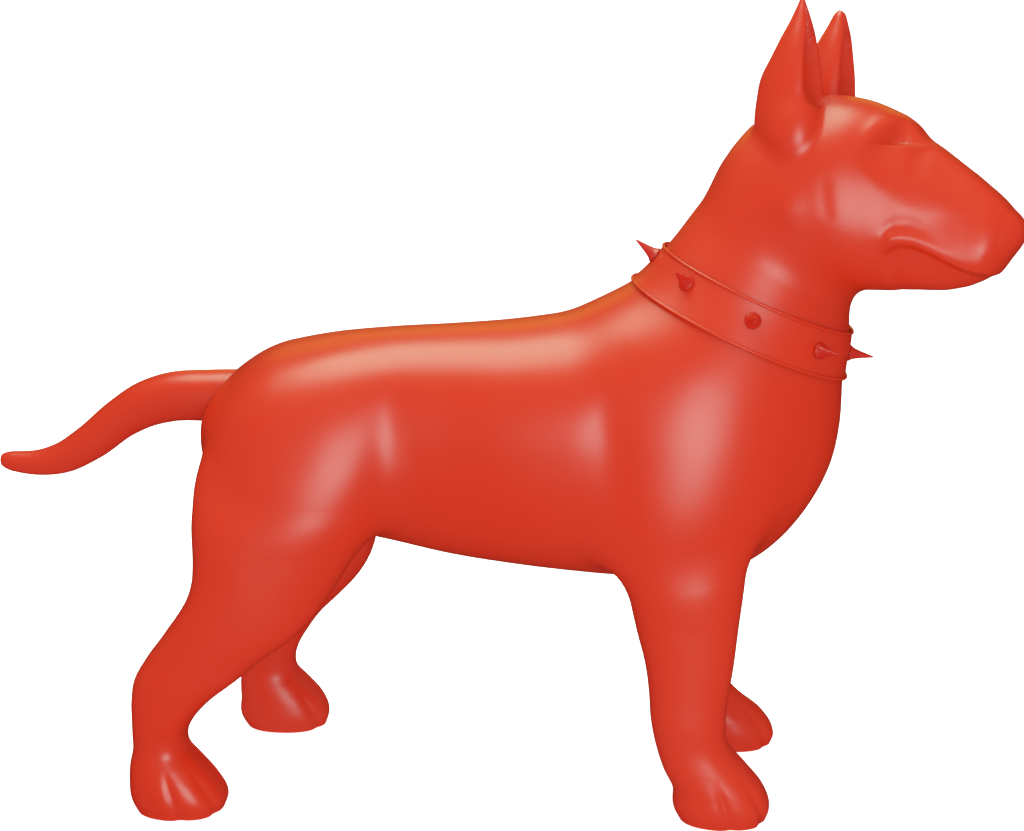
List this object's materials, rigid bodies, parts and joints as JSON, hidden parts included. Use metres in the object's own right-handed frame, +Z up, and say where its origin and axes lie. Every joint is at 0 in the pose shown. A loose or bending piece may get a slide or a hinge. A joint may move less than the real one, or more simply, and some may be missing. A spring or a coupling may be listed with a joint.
{
  "type": "dog statue",
  "caption": "Life-size standing bull terrier statue in satin red-orange lacquer, hollow moulded skin on a steel armature, with a spiked collar and rubber foot pads.",
  "frame": {"origin": "on the floor under the middle of the statue's box", "axes": "+X is where the dog looks, from tail to nose; +Y is the dog's left; +Z is up"},
  "size_m": [1.0062, 0.3096, 0.7909],
  "materials": {
    "lacquer": "satin red-orange lacquer over moulded glass fibre",
    "lacquered_spikes": "cast spikes under the same satin lacquer",
    "armature_steel": "plain mild steel",
    "sole_plate_steel": "plain mild steel plate",
    "foot_rubber": "dull black rubber"
  },
  "bodies": {
    "root": {"trunk_right": "lacquer", "trunk_left": "lacquer", "head": "lacquer", "ear_right": "lacquer", "ear_left": "lacquer", "tail": "lacquer", "foreleg_right": "lacquer", "foreleg_left": "lacquer", "hind_leg_right": "lacquer", "hind_leg_left": "lacquer", "collar": "lacquer", "spike_1": "lacquered_spikes", "spike_2": "lacquered_spikes", "spike_3": "lacquered_spikes", "spike_4": "lacquered_spikes", "spike_5": "lacquered_spikes", "spike_6": "lacquered_spikes", "spike_7": "lacquered_spikes", "spike_8": "lacquered_spikes", "foreleg_right_rod": "armature_steel", "foreleg_left_rod": "armature_steel", "hind_leg_right_rod": "armature_steel", "hind_leg_left_rod": "armature_steel", "shoulder_yoke": "armature_steel", "hip_yoke": "armature_steel", "spine_tube": "armature_steel", "foreleg_right_plate": "sole_plate_steel", "foreleg_left_plate": "sole_plate_steel", "hind_leg_right_plate": "sole_plate_steel", "hind_leg_left_plate": "sole_plate_steel", "foreleg_right_pad": "foot_rubber", "foreleg_left_pad": "foot_rubber", "hind_leg_right_pad": "foot_rubber", "hind_leg_left_pad": "foot_rubber"}
  },
  "joints": []
}
